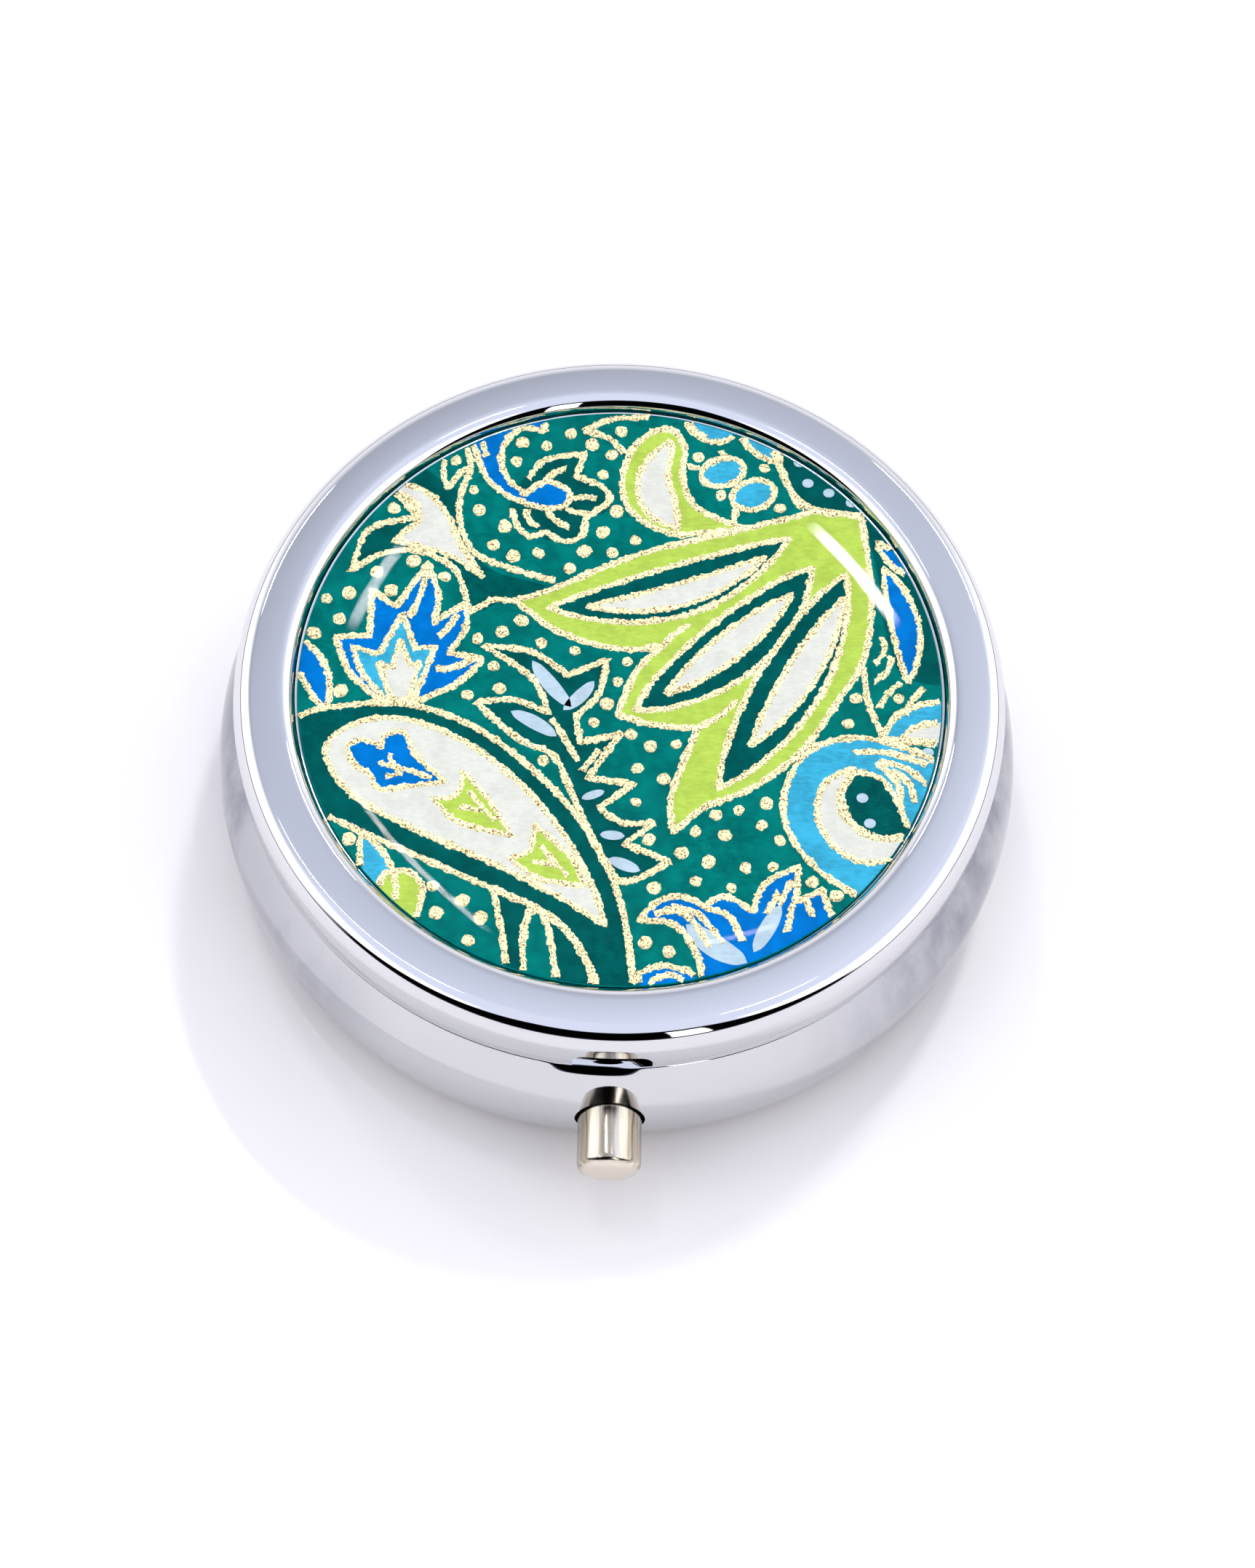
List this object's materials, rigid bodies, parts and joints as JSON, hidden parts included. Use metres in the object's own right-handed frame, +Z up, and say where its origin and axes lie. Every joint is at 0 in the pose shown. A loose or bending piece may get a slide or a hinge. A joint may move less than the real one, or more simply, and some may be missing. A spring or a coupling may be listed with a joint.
{
  "type": "pill box",
  "caption": "Round chromed pocket pill box with a hinged lid, a domed patterned inlay, a front push button and a divided inner tray.",
  "frame": {"origin": "centre of the flat underside", "axes": "+Z up out of the lid, -Y towards the push button, +Y towards the hinge, +X to the right seen from the front"},
  "size_m": [0.05, 0.0534, 0.0155],
  "materials": {
    "plated": "polished chrome plating with light handling marks",
    "button_nickel": "turned, nickel plated, faint lengthwise draw lines",
    "bright_steel": "bright stamped steel, unplated",
    "tray_plastic": "moulded, fine satin",
    "printed_paper": "printed paper with raised gold outlines",
    "clear_resin": "clear domed resin, high gloss"
  },
  "bodies": {
    "base": {"base_shell": "plated", "inner_collar": "plated", "compartment_tray": "tray_plastic", "base_hinge_leaf": "plated", "hinge_pin": "bright_steel", "latch_bracket": "bright_steel", "latch_spring": "bright_steel", "base_hinge_rivet_left": "bright_steel", "base_hinge_rivet_right": "bright_steel", "bracket_rivet_left": "bright_steel", "bracket_rivet_right": "bright_steel"},
    "lid": {"lid_shell": "plated", "picture_disc": "printed_paper", "clear_dome": "clear_resin", "lid_hinge_leaf": "plated", "catch_hook": "bright_steel", "lid_hinge_rivet_left": "bright_steel", "lid_hinge_rivet_right": "bright_steel", "catch_hook_rivet_left": "bright_steel", "catch_hook_rivet_right": "bright_steel"},
    "button": {"push_button": "button_nickel", "latch_plate": "bright_steel", "stem_clip": "bright_steel"}
  },
  "joints": [
    {"name": "lid_hinge", "type": "hinge", "parent": "base", "child": "lid", "pos_m": [0, 0.0239, 0.0103], "axis": [-1, 0, 0], "range_deg": [0, 95]},
    {"name": "button_press", "type": "slide", "parent": "base", "child": "button", "axis": [0, 1, 0], "range_m": [0, 0.001], "stiffness_N_per_m": 500, "deforming": ["latch_spring"]}
  ]
}
